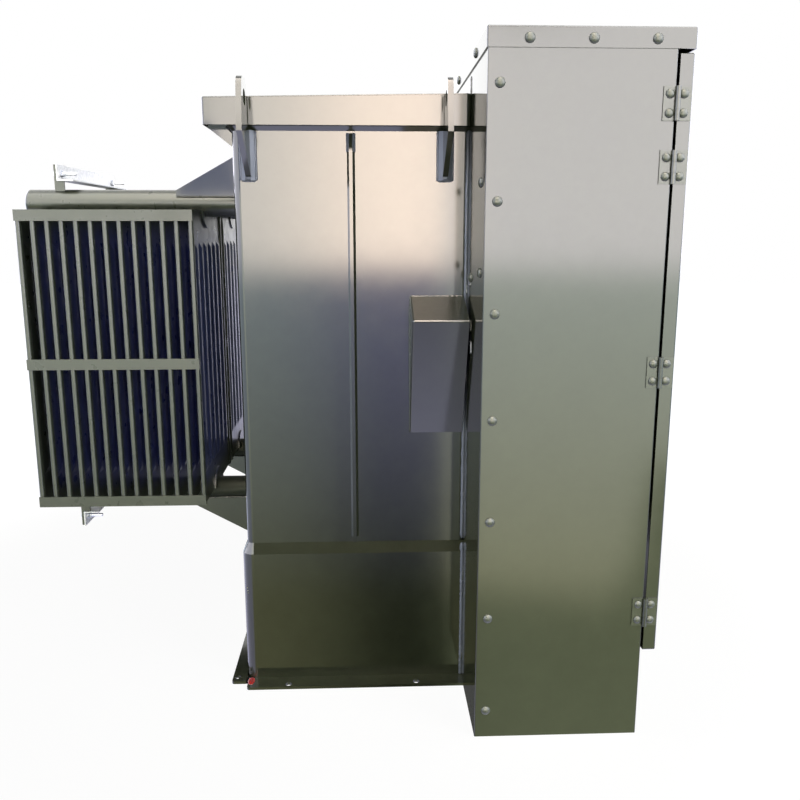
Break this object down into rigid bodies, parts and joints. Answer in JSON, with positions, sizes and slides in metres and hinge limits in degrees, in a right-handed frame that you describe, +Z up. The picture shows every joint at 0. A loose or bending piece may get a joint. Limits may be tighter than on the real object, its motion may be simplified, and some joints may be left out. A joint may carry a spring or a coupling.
{
  "type": "pad-mounted power transformer",
  "caption": "Floor-standing oil-filled power transformer with a two-door terminal cabinet in front and panel radiators behind.",
  "frame": {"origin": "on the ground, under the centre of the overall box", "axes": "+Z up; the cabinet doors face -Y and the radiators are at +Y; +X is the right-hand side seen from the doors' side"},
  "size_m": [1.874, 1.788, 1.75],
  "materials": {
    "enamel": "semi-gloss olive green enamel on steel plate",
    "radiator_enamel": "semi-gloss olive green enamel on thin sheet",
    "hinge_steel": "enamelled steel",
    "galvanised_steel": "hot-dip galvanised",
    "bushing_resin": "moulded epoxy",
    "terminal_brass": "cast and machined"
  },
  "bodies": {
    "housing": {"tank_shell": "enamel", "tank_floor": "enamel", "tank_skirt": "enamel", "tank_curb": "enamel", "tank_cover": "enamel", "front_plate": "enamel", "rear_base_strip": "enamel", "left_base_strip": "enamel", "right_base_strip": "enamel", "lug_pads": "enamel", "left_lifting_lugs": "enamel", "right_lifting_lugs": "enamel", "left_side_stiffener": "enamel", "right_side_stiffener": "enamel", "left_side_box": "enamel", "right_side_box": "enamel", "left_side_panel": "enamel", "right_side_panel": "enamel", "roof_cap": "enamel", "front_sill": "enamel", "compartment_barrier": "enamel", "left_hinge_frame_leaves": "hinge_steel", "right_hinge_frame_leaves": "hinge_steel", "left_radiator_panels": "radiator_enamel", "right_radiator_panels": "radiator_enamel", "left_top_header": "radiator_enamel", "left_bottom_header": "radiator_enamel", "right_top_header": "radiator_enamel", "right_bottom_header": "radiator_enamel", "left_radiator_bars": "radiator_enamel", "right_radiator_bars": "radiator_enamel", "header_gussets": "radiator_enamel", "tie_brackets": "radiator_enamel", "top_tie_angle": "galvanised_steel", "bottom_tie_angle": "galvanised_steel", "hv_bushings": "bushing_resin", "lv_bushings": "terminal_brass", "oil_level_gauge": "terminal_brass", "oil_thermometer": "terminal_brass", "drain_valve": "terminal_brass"},
    "left_door": {"left_door": "enamel", "left_hinge_door_leaves": "hinge_steel"},
    "right_door": {"right_door": "enamel", "right_hinge_door_leaves": "hinge_steel", "door_handle": "hinge_steel"}
  },
  "joints": [
    {"name": "left_door_hinge", "type": "hinge", "parent": "housing", "child": "left_door", "pos_m": [-0.931, -0.832, 0.97], "axis": [0, 0, -1], "range_deg": [0, 120]},
    {"name": "right_door_hinge", "type": "hinge", "parent": "housing", "child": "right_door", "pos_m": [0.931, -0.832, 0.97], "axis": [0, 0, 1], "range_deg": [0, 120]}
  ]
}
